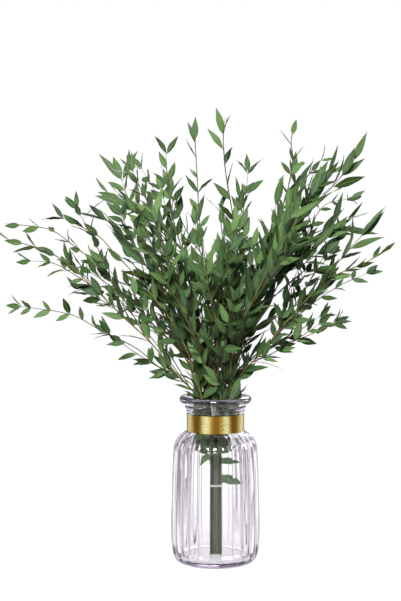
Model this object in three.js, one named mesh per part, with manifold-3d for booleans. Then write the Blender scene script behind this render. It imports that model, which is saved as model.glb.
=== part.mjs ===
// Dried eucalyptus branches standing in a fluted glass vase with a gold ribbon round its neck.
// Millimetres, +Z up, +X to the right and +Y away from the viewer.
// The origin is the centre of the vase's base, on the surface that the vase stands on.
import * as THREE from 'three';
import { mergeVertices } from 'three/addons/utils/BufferGeometryUtils.js';
import Module from 'manifold-3d';

// Vase
const VASE_HEIGHT = 200;
const BASE_RADIUS = 46;
const BODY_RADIUS = 54;
const NECK_RADIUS = 34.2;
const LIP_RADIUS = 43.2;
const INNER_NECK_RADIUS = 31.3;
const FLOOR_THICK = 7;
const FLUTES = 24;
const FLUTE_DEPTH = 1.4;
const FLUTE_BOTTOM = 4;
const FLUTE_TOP = 153;
const SEGMENTS_PER_FLUTE = 2;

// Ribbon round the neck
const RIBBON_WIDTH = 21;
const RIBBON_BOTTOM = 158.3;
const RIBBON_THICK = 0.6;
const RIBBON_LAP_DEG = 26;
const RIBBON_STEPS = 36;
const GAP = 0.35;

// Band that ties the stems inside the vase
const BAND_Z = 92;
const BAND_HEIGHT = 3;
const BAND_THICK = 0.8;
const BAND_SEGMENTS = 24;

// Stems
const STEM_RADIUS = 1.0;
const STEM_TIP_RADIUS = 0.5;
const SHOOT_RADIUS = 0.62;
const SHOOT_TIP_RADIUS = 0.42;
const STEM_SIDES = 4;
const SHOOT_SIDES = 3;
const STEM_FOOT = FLOOR_THICK + 0.3;
const BUNDLE_PITCH = 1.46;
const GOLDEN_ANGLE = Math.PI * (3 - Math.sqrt(5));
const NECK_Z = 200;
// height, and how far the bundle has spread there
const FLARE = [[STEM_FOOT, 1], [50, 1], [95, 1], [128, 1.4], [163, 2.4], [NECK_Z, 3.9]];
const SMOOTH_STEPS = 6;
const BEND_TOLERANCE = 1.0;

// Leaves
const BLADE_THICK = 1.2;
const STALK_HEIGHT = 0.7;
const STALK_SHARE = 0.14;
const BLADE_LOW = 0.28;
const BLADE_HIGH = 0.64;
const BLADE_CREST = 0.5;
const LEAF_CLEARANCE = 0.35;
// A leaf's tip bends down at most this far, so that its two faces stay apart
const MOST_DROP = 9;
const FIRST_LEAF = 190;
// stages: share of the way up, leaf length, width as a share of the length
// flat: how far the pairs turn to lie left and right, with their faces to the front
const MAIN_HABIT = {
  stages: [[0, 26, 0.34], [0.22, 42, 0.26], [0.5, 55, 0.21], [0.8, 53, 0.21], [1, 38, 0.25]],
  pitch: 21, spread: [28, 16], keep: 0.9, flat: 0.25,
};
const TAPER_HABIT = {
  stages: [[0, 26, 0.34], [0.25, 42, 0.26], [0.6, 50, 0.22], [0.85, 27, 0.33], [1, 17, 0.4]],
  pitch: 20, spread: [28, 30], keep: 0.93, flat: 0.3,
};
const SMALL_HABIT = {
  stages: [[0, 27, 0.34], [0.3, 38, 0.28], [0.6, 33, 0.31], [1, 23, 0.36]],
  pitch: 20.5, spread: [31, 24], keep: 0.9, flat: 0.45,
};
const CLOSE_HABIT = {
  stages: [[0, 27, 0.33], [0.4, 30, 0.31], [1, 22, 0.32]],
  pitch: 19, spread: [26, 15], keep: 0.93, flat: 0.5,
};
const CROWN_HABIT = {
  stages: [[0, 26, 0.34], [0.4, 30, 0.31], [0.8, 24, 0.35], [1, 31, 0.35]],
  pitch: 22, spread: [35, 26], keep: 0.92, flat: 0.5,
};
const FINE_HABIT = {
  stages: [[0, 25, 0.35], [0.4, 25, 0.37], [1, 21, 0.38]],
  pitch: 21.5, spread: [40, 32], keep: 0.87, flat: 0.5,
};
const LAID_HABIT = {
  stages: [[0, 24, 0.36], [0.5, 22, 0.39], [1, 18, 0.42]],
  pitch: 21, spread: [44, 36], keep: 0.9, flat: 0.85,
};
const LONG_TIP_HABIT = {
  stages: [[0, 26, 0.34], [1, 44, 0.28]],
  pitch: 20, spread: [40, 22], keep: 1, flat: 0.8,
};
const SHOOTS_PER_STEM = 3;
// One young shoot of each stem is solid, and every third leaf of the stem itself
const SOLID_SHOOTS_PER_STEM = 1;
const SOLID_LEAF_STEP = 3;
const LEAF_TURNS = [0, 0.45, -0.45, 0.9, -0.9];

// Random spans: a value is drawn evenly between the two ends. Angles are radians but for the spread
const SEED_START = 1000;
const SEED_STEP = 77;
const WARM_UP = 3;
const FIRST_LEAF_SPAN = [0, 16];
const PHASE_SPAN = [0, Math.PI];
const TURN_SPAN = [-0.25, 0.25];
const SPREAD_SPAN = [-11, 11];
const ROLL_SPAN = [-1.1, 1.1];
const SIZE_SPAN = [0.8, 1.2];
const SLIM_SPAN = [-0.025, 0.025];
const ARCH_SPAN = [-0.098, 0.182];
const PITCH_SPAN = [0.75, 1.25];
const TIP_SPREAD_SPAN = [-0.3, 0.3];
const TIP_ARCH = 0.05;
const TIP_ROLL = Math.PI / 2;
const FACE_ROLL = 1.25;
const BARE_TIP = 20;

// Shoots
const LAID_SHOOT_BARE = 14;
const LAID_SHOOT_SCALE = 0.95;
const YOUNG_SHOOT_BARE = 16;
const SHOOT_BARE_TIP = 2;
const YOUNG_SHOOT_ZONE = [0.04, 0.66];
const YOUNG_SHOOT_ANGLE = [26, 40];
const YOUNG_SHOOT_LENGTH = [70, 120];
const YOUNG_SHOOT_BEND = 0.35;
const YOUNG_SHOOT_KNOTS = 3;

// The place that the branches' front elevation is seen from
const VIEWPOINT = new THREE.Vector3(-18, -1500, 389);
const SIGHT = 1500;
const DEPTH_POWER = 1.15;
const LEAN_Z = 150;

// name, habit, depth of the tip, knots (x, z) on the front elevation,
// shoots: share of the way up, depth of the tip, knots (x, z), habit
const BRANCHES = [
  ['far_left', SMALL_HABIT, -40,
    [[-48, 227], [-77, 263], [-112, 296], [-148, 332], [-175, 357], [-205, 375], [-250, 388]],
    [[0.10, -70, [[-70, 236], [-95, 257], [-140, 280], [-175, 298], [-236, 308]], LAID_HABIT],
      [0.60, -20, [[-176, 350], [-197, 360], [-224, 362]], LAID_HABIT]]],
  ['left_back', FINE_HABIT, 70,
    [[-36, 245], [-79, 290], [-117, 330], [-145, 360], [-172, 382], [-200, 400], [-252, 407]], []],
  ['left_front', SMALL_HABIT, -120,
    [[-30, 243], [-48, 282], [-74, 318], [-100, 349], [-125, 376], [-142, 393], [-184, 414]], []],
  ['left_high', MAIN_HABIT, 110,
    [[-25, 261], [-41, 326], [-51, 373], [-65, 399], [-82, 418], [-116, 437], [-128, 441]],
    [[0.8, 120, [[-98, 428], [-108, 445], [-112, 460]], LONG_TIP_HABIT]]],
  ['far_right', CLOSE_HABIT, -30,
    [[30, 225], [57, 253], [92, 297], [131, 337], [155, 350], [180, 360], [214, 383]],
    [[0.34, -60, [[118, 312], [150, 333], [183, 348]], LAID_HABIT],
      [0.28, 30, [[101, 318], [117, 344], [139, 372]], LAID_HABIT]]],
  ['right_back', MAIN_HABIT, 80,
    [[24, 240], [59, 303], [89, 357], [119, 387], [152, 403]],
    [[0.51, 100, [[112, 400], [131, 429], [164, 437]], LAID_HABIT]]],
  ['right_high', MAIN_HABIT, -70,
    [[20, 245], [41, 291], [58, 335], [79, 378], [101, 417], [123, 453], [135, 467]], []],
  ['front_right', MAIN_HABIT, -150, [[20, 250], [38, 300], [60, 345], [78, 385], [88, 415]], []],
  ['front', SMALL_HABIT, -170, [[2, 245], [0, 290], [-8, 330], [-14, 372], [-16, 405]], []],
  ['front_left', SMALL_HABIT, -150, [[-14, 240], [-34, 290], [-58, 335], [-80, 372], [-98, 402]], []],
  ['back', SMALL_HABIT, 160, [[4, 245], [8, 300], [16, 350], [24, 400], [28, 440]], []],
  ['back_left', MAIN_HABIT, 150, [[-14, 245], [-36, 310], [-58, 360], [-78, 400], [-92, 430]], []],
  ['back_right', MAIN_HABIT, 140, [[14, 245], [40, 310], [64, 365], [84, 415], [96, 452]], []],
  ['mid_left', SMALL_HABIT, -40,
    [[-12, 250], [-19, 279], [-37, 363], [-52, 417], [-55, 447], [-59, 477], [-58, 492]], []],
  ['left_tall', SMALL_HABIT, 30,
    [[-16, 250], [-31, 291], [-55, 361], [-73, 414], [-87, 445], [-105, 469]],
    [[0.55, 40, [[-66, 420], [-74, 448], [-90, 474]], LAID_HABIT]]],
  ['right_tall', FINE_HABIT, 50,
    [[10, 250], [23, 300], [47, 350], [68, 400], [83, 435], [92, 481], [90, 506], [97, 530]], []],
  ['right_mid', TAPER_HABIT, -40,
    [[16, 240], [32, 290], [52, 340], [71, 385], [89, 417], [107, 459], [128, 484]], []],
  ['crown_right', CROWN_HABIT, -60,
    [[4, 240], [11, 279], [21, 351], [22, 393], [20, 420], [12, 468], [9, 514], [12, 534]], []],
  ['left_low_back', SMALL_HABIT, 120, [[-24, 234], [-60, 272], [-98, 305], [-130, 335], [-162, 356]], []],
  ['left_inner', MAIN_HABIT, -70, [[-14, 245], [-40, 300], [-75, 345], [-105, 385], [-132, 412]], []],
  ['right_low_back', MAIN_HABIT, 110, [[26, 230], [64, 262], [98, 300], [132, 338]], []],
  ['right_inner', MAIN_HABIT, 10,
    [[14, 250], [40, 300], [72, 345], [108, 380], [142, 407]], []],
  ['centre', SMALL_HABIT, -20, [[0, 250], [2, 300], [6, 350], [8, 390], [4, 425]], []],
  ['crown_left', CROWN_HABIT, 60,
    [[-4, 240], [-10, 279], [-15, 363], [-20, 423], [-22, 463], [-24, 496], [-25, 524]], []],
].map(([name, habit, depth, knots, shoots]) => ({ name, habit, depth, knots, shoots }));

// Leaves inside the glass: branch, height on the stem, length, then heading, spread and roll in degrees
const LOW_LEAVES = [
  ['right_back', 112, 24, -20, 76, 55],
  ['far_right', 95, 29, -30, 96, 75],
  ['far_left', 124, 20, 190, 135, -70],
  ['left_front', 126, 25, 215, 60, -60],
  ['front_right', 126, 25, 320, 52, 60],
  ['left_back', 134, 24, 165, 55, -50],
  ['right_low_back', 132, 24, 20, 50, 60],
];
const LOW_LEAF_SLIM = 0.34;

// Joining solids
const WELD = 0.002;
const wasm = await Module();
wasm.setup();

function solidFrom(geometry) {
  const bare = geometry.clone();
  bare.deleteAttribute('normal');
  bare.deleteAttribute('uv');
  const merged = mergeVertices(bare, 1e-4);
  return new wasm.Manifold(new wasm.Mesh({
    numProp: 3,
    vertProperties: merged.attributes.position.array,
    triVerts: merged.index.array,
  }));
}

// Corners that lie closer than the weld become one, and the triangles that this closes go
function geometryFrom(solid) {
  const mesh = solid.getMesh();
  const raw = new THREE.BufferGeometry();
  raw.setAttribute('position', new THREE.BufferAttribute(mesh.vertProperties, 3));
  raw.setIndex(new THREE.BufferAttribute(mesh.triVerts, 1));
  const geometry = mergeVertices(raw, WELD);
  const index = geometry.index.array;
  const kept = [];
  for (let i = 0; i < index.length; i += 3) {
    const [a, b, c] = index.slice(i, i + 3);
    if (a !== b && b !== c && c !== a) {
      kept.push(a, b, c);
    }
  }
  geometry.setIndex(kept);
  geometry.computeVertexNormals();
  return geometry;
}

function meshOf(name, geometry, material) {
  const mesh = new THREE.Mesh(geometry, material);
  mesh.name = name;
  return mesh;
}

// Vase: one turned wall, its outside pushed in and out into flutes
function vaseProfile() {
  const outside = [
    [0, 0], [BASE_RADIUS, 0], [BASE_RADIUS + 5, FLUTE_BOTTOM], [BODY_RADIUS, 40], [52, 110], [50.4, 140],
    [44.4, 151], [NECK_RADIUS, 157.5], [NECK_RADIUS, 180.5],
    [NECK_RADIUS + 2.4, 186.5], [NECK_RADIUS + 0.8, 191.5],
    [LIP_RADIUS, 197], [LIP_RADIUS - 4, VASE_HEIGHT], [LIP_RADIUS - 7.5, 198.6],
  ];
  const inside = [
    [INNER_NECK_RADIUS, 186], [INNER_NECK_RADIUS, 154], [46.5, 138], [47, FLOOR_THICK],
    [0, FLOOR_THICK],
  ];
  return { outside, inside };
}

function buildVase(material) {
  const { outside, inside } = vaseProfile();
  const points = [...outside, ...inside].map(([r, z]) => new THREE.Vector2(r, z));
  const segments = FLUTES * SEGMENTS_PER_FLUTE;
  const lathe = new THREE.LatheGeometry(points, segments);
  const position = lathe.attributes.position;
  for (let turn = 0; turn <= segments; turn += 1) {
    for (let i = 0; i < outside.length; i += 1) {
      const z = outside[i][1];
      const vertex = turn * points.length + i;
      const groove = turn % SEGMENTS_PER_FLUTE === 1 && z > FLUTE_BOTTOM && z < FLUTE_TOP;
      const scale = groove ? (outside[i][0] - FLUTE_DEPTH) / outside[i][0] : 1;
      position.setX(vertex, position.getX(vertex) * scale);
      position.setZ(vertex, position.getZ(vertex) * scale);
    }
  }
  lathe.rotateX(Math.PI / 2);
  return meshOf('vase', lathe, material);
}

// Ribbon: one flat strip wound once round the neck, its end lapped over its start at the back
function buildRibbon(material) {
  const lap = THREE.MathUtils.degToRad(RIBBON_LAP_DEG);
  const start = Math.PI / 2 - lap / 2;
  const sweep = Math.PI * 2 + lap;
  const inner = [];
  const outer = [];
  for (let i = 0; i <= RIBBON_STEPS; i += 1) {
    const turned = sweep * i / RIBBON_STEPS;
    const rise = THREE.MathUtils.smoothstep(turned, Math.PI * 2 - lap, Math.PI * 2);
    const radius = NECK_RADIUS + GAP + rise * (RIBBON_THICK + GAP);
    const angle = start + turned;
    inner.push(new THREE.Vector2(radius * Math.cos(angle), radius * Math.sin(angle)));
    outer.push(new THREE.Vector2(
      (radius + RIBBON_THICK) * Math.cos(angle), (radius + RIBBON_THICK) * Math.sin(angle)));
  }
  const outline = new THREE.Shape([...outer, ...inner.reverse()]);
  const strip = new THREE.ExtrudeGeometry(outline, { depth: RIBBON_WIDTH, bevelEnabled: false });
  const mesh = meshOf('ribbon', strip, material);
  mesh.position.z = RIBBON_BOTTOM;
  return mesh;
}

function bundleRadius() {
  return BUNDLE_PITCH * Math.sqrt(BRANCHES.length - 0.5) + STEM_RADIUS;
}

function buildBand(material) {
  const inner = bundleRadius() + BEND_TOLERANCE;
  const outer = inner + BAND_THICK;
  const half = BAND_HEIGHT / 2;
  const section = [[inner, -half], [outer, -half], [outer, half], [inner, half], [inner, -half]];
  const ring = new THREE.LatheGeometry(section.map(([r, z]) => new THREE.Vector2(r, z)), BAND_SEGMENTS);
  ring.rotateX(Math.PI / 2);
  const mesh = meshOf('bundle_band', ring, material);
  mesh.position.z = BAND_Z;
  return mesh;
}

// Growth rule
function* draws(seed) {
  let state = seed;
  while (true) {
    state = (state * 1664525 + 1013904223) % 4294967296;
    yield state / 4294967296;
  }
}

function seen([x, z], depth) {
  const aim = new THREE.Vector3(x, 0, z).sub(VIEWPOINT);
  return aim.multiplyScalar(1 + depth / SIGHT).add(VIEWPOINT);
}

function span(draw, [low, high]) {
  return low + (high - low) * draw.next().value;
}

function smooth(knots, steps) {
  const first = knots[0].clone().multiplyScalar(2).sub(knots[1]);
  const last = knots.at(-1).clone().multiplyScalar(2).sub(knots.at(-2));
  const ends = [first, ...knots, last];
  const points = [];
  for (let k = 0; k + 3 < ends.length; k += 1) {
    const [a, b, c, d] = ends.slice(k, k + 4);
    for (let i = 0; i < steps; i += 1) {
      const t = i / steps;
      const place = (p, q, r, s) => 0.5 * (
        2 * q + (r - p) * t + (2 * p - 5 * q + 4 * r - s) * t * t + (3 * q - p - 3 * r + s) * t * t * t);
      points.push(new THREE.Vector3(
        place(a.x, b.x, c.x, d.x), place(a.y, b.y, c.y, d.y), place(a.z, b.z, c.z, d.z)));
    }
  }
  points.push(knots.at(-1).clone());
  return points;
}

// Drops each point that lies within the tolerance of the straight line past it
function thinned(points, tolerance) {
  const kept = [points[0]];
  let from = 0;
  for (let to = 2; to < points.length; to += 1) {
    const line = new THREE.Line3(points[from], points[to]);
    const near = new THREE.Vector3();
    const off = points.slice(from + 1, to).map(
      (p) => line.closestPointToPoint(p, true, near).distanceTo(p));
    if (Math.max(...off) > tolerance) {
      kept.push(points[to - 1]);
      from = to - 1;
    }
  }
  kept.push(points.at(-1));
  return kept;
}

class Path {
  constructor(points) {
    this.points = points;
    this.reach = [0];
    for (let i = 1; i < points.length; i += 1) {
      this.reach.push(this.reach[i - 1] + points[i].distanceTo(points[i - 1]));
    }
    this.length = this.reach.at(-1);
  }

  at(distance) {
    const s = Math.min(Math.max(distance, 0), this.length);
    let i = 1;
    while (i < this.points.length - 1 && this.reach[i] < s) {
      i += 1;
    }
    const [a, b] = [this.points[i - 1], this.points[i]];
    const t = (s - this.reach[i - 1]) / (this.reach[i] - this.reach[i - 1]);
    return { point: a.clone().lerp(b, t), along: b.clone().sub(a).normalize() };
  }
}

// Places in the bundle, packed like a sunflower's seeds, each branch on the side that it leans to
function bundlePlaces() {
  const free = BRANCHES.map((branch, i) => {
    const radius = BUNDLE_PITCH * Math.sqrt(i + 0.5);
    return new THREE.Vector2(radius * Math.cos(i * GOLDEN_ANGLE), radius * Math.sin(i * GOLDEN_ANGLE));
  });
  const leans = BRANCHES.map((branch) => {
    const tip = seen(branch.knots.at(-1), branch.depth);
    return { branch, lean: new THREE.Vector2(tip.x, tip.y).divideScalar(tip.z - LEAN_Z) };
  });
  leans.sort((a, b) => b.lean.length() - a.lean.length());
  const places = {};
  for (const { branch, lean } of leans) {
    const heading = lean.clone().normalize();
    let best = 0;
    free.forEach((place, i) => {
      if (place.dot(heading) > free[best].dot(heading)) {
        best = i;
      }
    });
    places[branch.name] = free.splice(best, 1)[0];
  }
  return places;
}

function stemPath(branch, place) {
  const knots = FLARE.map(([z, spread]) => new THREE.Vector3(place.x * spread, place.y * spread, z));
  const near = place.y * FLARE.at(-1)[1];
  const run = branch.knots.map(([x, z]) => Math.hypot(x, z - NECK_Z));
  branch.knots.forEach((knot, i) => {
    const share = (run[i] / run.at(-1)) ** DEPTH_POWER;
    knots.push(seen(knot, near + (branch.depth - near) * share));
  });
  return new Path(thinned(smooth(knots, SMOOTH_STEPS), BEND_TOLERANCE));
}

function laidShootPath(stem, from, depth, knots) {
  const start = stem.at(from).point;
  const points = knots.map((knot, i) => (
    seen(knot, start.y + (depth - start.y) * (i + 1) / knots.length)));
  return new Path(thinned(smooth([start, ...points], SMOOTH_STEPS), BEND_TOLERANCE));
}

function sideFrame(along) {
  const side = new THREE.Vector3(0, 1, 0).cross(along).normalize();
  return { side, up: along.clone().cross(side) };
}

function heading(along, angle) {
  const { side, up } = sideFrame(along);
  return side.multiplyScalar(Math.cos(angle)).addScaledVector(up, Math.sin(angle));
}

function stageOf(stages, share) {
  for (let i = 1; i < stages.length; i += 1) {
    const [s0, length0, slim0] = stages[i - 1];
    const [s1, length1, slim1] = stages[i];
    if (share <= s1) {
      const t = (share - s0) / (s1 - s0);
      return { length: length0 + (length1 - length0) * t, slim: slim0 + (slim1 - slim0) * t };
    }
  }
  return { length: stages.at(-1)[1], slim: stages.at(-1)[2] };
}

// One leaf: out from the stem by spread, turned about it to turn, rolled about its own length
function leafAt(path, s, turn, spread, roll) {
  const { point, along } = path.at(s);
  const out = heading(along, turn);
  const direction = along.clone().multiplyScalar(Math.cos(spread)).addScaledVector(out, Math.sin(spread));
  const face = along.clone().multiplyScalar(Math.sin(spread)).addScaledVector(out, -Math.cos(spread));
  face.applyAxisAngle(direction, roll);
  return { root: point, along: direction, face };
}

// Opposite pairs, each pair a quarter turn on from the one below, and one leaf at the tip
function leafy(path, first, last, habit, draw, scale) {
  const leaves = [];
  let s = first;
  let phase = span(draw, PHASE_SPAN);
  for (let pair = 0; s < last; pair += 1) {
    const share = (s - first) / (last - first);
    const mean = THREE.MathUtils.lerp(...habit.spread, share);
    const { length, slim } = stageOf(habit.stages, share);
    for (const side of [0, Math.PI]) {
      const free = phase + side + span(draw, TURN_SPAN);
      const turn = free - habit.flat * Math.sin(2 * free) / 2;
      const spread = THREE.MathUtils.degToRad(mean + span(draw, SPREAD_SPAN));
      const facing = habit.flat * FACE_ROLL * Math.cos(turn);
      const roll = facing + span(draw, ROLL_SPAN) * (1 - habit.flat / 2);
      const size = length * scale * span(draw, SIZE_SPAN);
      const width = size * (slim + span(draw, SLIM_SPAN));
      const arch = Math.min(span(draw, ARCH_SPAN), MOST_DROP / size);
      if (draw.next().value < habit.keep) {
        leaves.push({ path, s, turn, spread, roll, length: size, width, arch, pair });
      }
    }
    phase += Math.PI / 2 + span(draw, TURN_SPAN);
    s += habit.pitch * span(draw, PITCH_SPAN);
  }
  const [, length, slim] = habit.stages.at(-1);
  leaves.push({
    path, s: last, turn: 0, spread: span(draw, TIP_SPREAD_SPAN), roll: TIP_ROLL,
    length: length * scale, width: length * scale * slim, arch: TIP_ARCH, pair: 0,
  });
  return leaves;
}

// A young shoot that leaves the stem at a low angle and bends up along it
function youngShoot(stem, s, draw) {
  const { point, along } = stem.at(s);
  const out = heading(along, span(draw, [0, Math.PI * 2]));
  const angle = THREE.MathUtils.degToRad(span(draw, YOUNG_SHOOT_ANGLE));
  const start = along.clone().multiplyScalar(Math.cos(angle)).addScaledVector(out, Math.sin(angle));
  const length = span(draw, YOUNG_SHOOT_LENGTH);
  const points = [point];
  for (let i = 1; i <= YOUNG_SHOOT_KNOTS; i += 1) {
    const share = i / YOUNG_SHOOT_KNOTS;
    const bend = YOUNG_SHOOT_BEND * share;
    const way = start.clone().multiplyScalar(1 - bend).addScaledVector(along, bend).normalize();
    points.push(way.multiplyScalar(length * share).add(point));
  }
  return new Path(thinned(smooth(points, SMOOTH_STEPS), BEND_TOLERANCE));
}

function grow(branch, place, seed) {
  const draw = draws(seed);
  for (let i = 0; i < WARM_UP; i += 1) {
    draw.next();
  }
  const stem = stemPath(branch, place);
  const first = FIRST_LEAF + span(draw, FIRST_LEAF_SPAN);
  const leafyLength = stem.length - first;
  const leaves = leafy(stem, first, stem.length - BARE_TIP, branch.habit, draw, 1)
    .filter((leaf, i, all) => i % SOLID_LEAF_STEP === 0 || i + 1 === all.length);
  const shoots = [];
  for (const [share, depth, knots, habit] of branch.shoots) {
    const path = laidShootPath(stem, first + leafyLength * share, depth, knots);
    const last = path.length - SHOOT_BARE_TIP;
    const grown = leafy(path, LAID_SHOOT_BARE, last, habit, draw, LAID_SHOOT_SCALE);
    shoots.push({ path, leaves: grown.filter((leaf) => leaf.pair % 2 === 0) });
  }
  for (let k = 0; k < SHOOTS_PER_STEM; k += 1) {
    const share = THREE.MathUtils.lerp(...YOUNG_SHOOT_ZONE, (k + draw.next().value) / SHOOTS_PER_STEM);
    const path = youngShoot(stem, first + leafyLength * share, draw);
    const last = path.length - SHOOT_BARE_TIP;
    const grown = leafy(path, YOUNG_SHOOT_BARE, last, FINE_HABIT, draw, 1);
    if (k < SOLID_SHOOTS_PER_STEM) {
      shoots.push({ path, leaves: grown.filter((leaf) => leaf.pair === 0) });
    }
  }
  return { stem, leaves, shoots };
}

// Solids of stems and leaves
function tube(path, radius, tipRadius, sides, swell = 0) {
  const vertices = [];
  const faces = [];
  let side = heading(path.at(0).along, 0);
  const count = path.points.length;
  path.points.forEach((point, i) => {
    const before = path.points[Math.max(i - 1, 0)];
    const after = path.points[Math.min(i + 1, count - 1)];
    const along = after.clone().sub(before).normalize();
    side = side.clone().addScaledVector(along, -side.dot(along)).normalize();
    const up = along.clone().cross(side);
    const r = radius + (tipRadius - radius) * path.reach[i] / path.length + swell;
    for (let k = 0; k < sides; k += 1) {
      const angle = Math.PI * 2 * k / sides;
      vertices.push(point.clone()
        .addScaledVector(side, r * Math.cos(angle)).addScaledVector(up, r * Math.sin(angle)));
    }
  });
  for (let i = 0; i + 1 < count; i += 1) {
    for (let k = 0; k < sides; k += 1) {
      const a = i * sides + k;
      const b = i * sides + (k + 1) % sides;
      faces.push(a, b, b + sides, a, b + sides, a + sides);
    }
  }
  const top = (count - 1) * sides;
  for (let k = 1; k + 1 < sides; k += 1) {
    faces.push(0, k + 1, k);
    faces.push(top, top + k, top + k + 1);
  }
  return indexed(vertices, faces);
}

function indexed(vertices, faces) {
  const geometry = new THREE.BufferGeometry().setFromPoints(vertices);
  geometry.setIndex(faces);
  return solidFrom(geometry);
}

// Half the width of a leaf at a share of its length, as a share of its full half width
function leafOutline(share) {
  return Math.sin(Math.PI * share ** 0.8) ** 0.85;
}

// A blade: a stalk end as high as it is thick, an outline of five points round a raised crest,
// and a back that is flat from edge to edge
// (with a swell it is the space that the leaf needs, past the stalk, where a pair's leaves meet)
function blade(leaf, swell = 0) {
  const { root, along, face } = leafAt(leaf.path, leaf.s, leaf.turn, leaf.spread, leaf.roll);
  const across = along.clone().cross(face);
  const start = swell > 0 ? STALK_SHARE : 0;
  const rib = (share, rise) => root.clone().addScaledVector(along, leaf.length * share)
    .addScaledVector(face, rise - leaf.arch * leaf.length * share * share);
  const edge = (share, half) => rib(share, -swell).addScaledVector(across, half);
  const low = leafOutline(BLADE_LOW) * leaf.width / 2 + swell;
  const high = leafOutline(BLADE_HIGH) * leaf.width / 2 + swell;
  const points = [
    rib(start, STALK_HEIGHT / 2 + swell), edge(BLADE_LOW, low), edge(BLADE_HIGH, high), edge(1, 0),
    edge(BLADE_HIGH, -high), edge(BLADE_LOW, -low),
    rib(BLADE_CREST, BLADE_THICK + swell), rib(start, -STALK_HEIGHT / 2 - swell),
  ];
  const top = [0, 1, 6, 1, 2, 6, 2, 3, 6, 3, 4, 6, 4, 5, 6, 5, 0, 6];
  const back = [7, 5, 1, 1, 5, 4, 1, 4, 2, 2, 4, 3];
  const stalk = [0, 7, 1, 7, 0, 5];
  return indexed(points, [...top, ...back, ...stalk]);
}

// Space that is taken: whatever is placed later stays clear of it
class Space {
  constructor() {
    this.taken = [];
  }

  take(solid, owner) {
    const { min, max } = solid.boundingBox();
    this.taken.push({ solid, owner, min, max });
  }

  isFree(solid, owners) {
    const box = solid.boundingBox();
    const apart = (other) => [0, 1, 2].some(
      (k) => box.min[k] > other.max[k] || box.max[k] < other.min[k]);
    return this.taken.every((other) => (
      owners.includes(other.owner) || apart(other) || solid.intersect(other.solid).isEmpty()));
  }
}

// The leaf's own solid, turned about its stem until it is clear of all but the wood it grows from
// and, at its stalk, the leaves of its own branch
function placeLeaf(space, leaf, wood, branch) {
  const siblings = `${branch} leaf`;
  for (const turn of LEAF_TURNS) {
    const turned = { ...leaf, turn: leaf.turn + turn };
    const solid = blade(turned);
    const room = blade(turned, LEAF_CLEARANCE);
    if (space.isFree(room, [wood]) && space.isFree(solid, [wood, siblings])) {
      space.take(solid, siblings);
      return [solid];
    }
  }
  return [];
}

function lowLeaves(item) {
  return LOW_LEAVES.filter(([name]) => name === item.name).map(([, s, length, turn, spread, roll]) => ({
    path: item.stem,
    s,
    turn: THREE.MathUtils.degToRad(turn),
    spread: THREE.MathUtils.degToRad(spread),
    roll: THREE.MathUtils.degToRad(roll),
    length,
    width: length * LOW_LEAF_SLIM,
    arch: TIP_ARCH,
  }));
}

function buildBranches(material, obstacles) {
  const space = new Space();
  obstacles.forEach((mesh) => {
    mesh.updateMatrixWorld();
    space.take(solidFrom(mesh.geometry.clone().applyMatrix4(mesh.matrixWorld)), mesh.name);
  });
  const places = bundlePlaces();
  const grown = BRANCHES.map((branch, i) => (
    { name: branch.name, solids: [], ...grow(branch, places[branch.name], SEED_START + SEED_STEP * i) }));
  for (const item of grown) {
    const wood = tube(item.stem, STEM_RADIUS, STEM_TIP_RADIUS, STEM_SIDES);
    item.wood = `${item.name} stem`;
    item.solids.push(wood);
    space.take(wood, item.wood);
  }
  for (const item of grown) {
    item.shoots = item.shoots.filter(({ path }) => space.isFree(
      tube(path, SHOOT_RADIUS, SHOOT_TIP_RADIUS, SHOOT_SIDES, LEAF_CLEARANCE), [item.wood]));
    item.shoots.forEach((shoot, i) => {
      const wood = tube(shoot.path, SHOOT_RADIUS, SHOOT_TIP_RADIUS, SHOOT_SIDES);
      shoot.wood = `${item.name} shoot ${i}`;
      item.solids.push(wood);
      space.take(wood, shoot.wood);
    });
  }
  for (const item of grown) {
    for (const leaf of [...lowLeaves(item), ...item.leaves]) {
      item.solids.push(...placeLeaf(space, leaf, item.wood, item.name));
    }
    for (const shoot of item.shoots) {
      for (const leaf of shoot.leaves) {
        item.solids.push(...placeLeaf(space, leaf, shoot.wood, item.name));
      }
    }
  }
  return grown.map((item) => (
    meshOf(item.name, geometryFrom(wasm.Manifold.union(item.solids)), material.clone())));
}

const glass = new THREE.MeshStandardMaterial({ color: 0xded9e1, roughness: 0.08, metalness: 0 });
const gold = new THREE.MeshStandardMaterial({ color: 0xc79a3c, roughness: 0.3, metalness: 0.9 });
const raffia = new THREE.MeshStandardMaterial({ color: 0xd9d6cc, roughness: 0.7, metalness: 0 });
const foliage = new THREE.MeshStandardMaterial({ color: 0x415934, roughness: 0.6, metalness: 0 });

const vase = buildVase(glass);
const ribbon = buildRibbon(gold);
const band = buildBand(raffia);
const group = new THREE.Group();
group.add(vase, ribbon, band, ...buildBranches(foliage, [vase, band]));

export default group;
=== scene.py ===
"""Dried eucalyptus branches in a fluted glass vase with a plain gold ribbon, on a white studio set."""
from math import copysign, cos, exp, hypot, pi, radians, sin, sqrt, tau

import bpy
import numpy as np
from mathutils import Matrix, Vector
from mathutils.bvhtree import BVHTree


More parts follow.
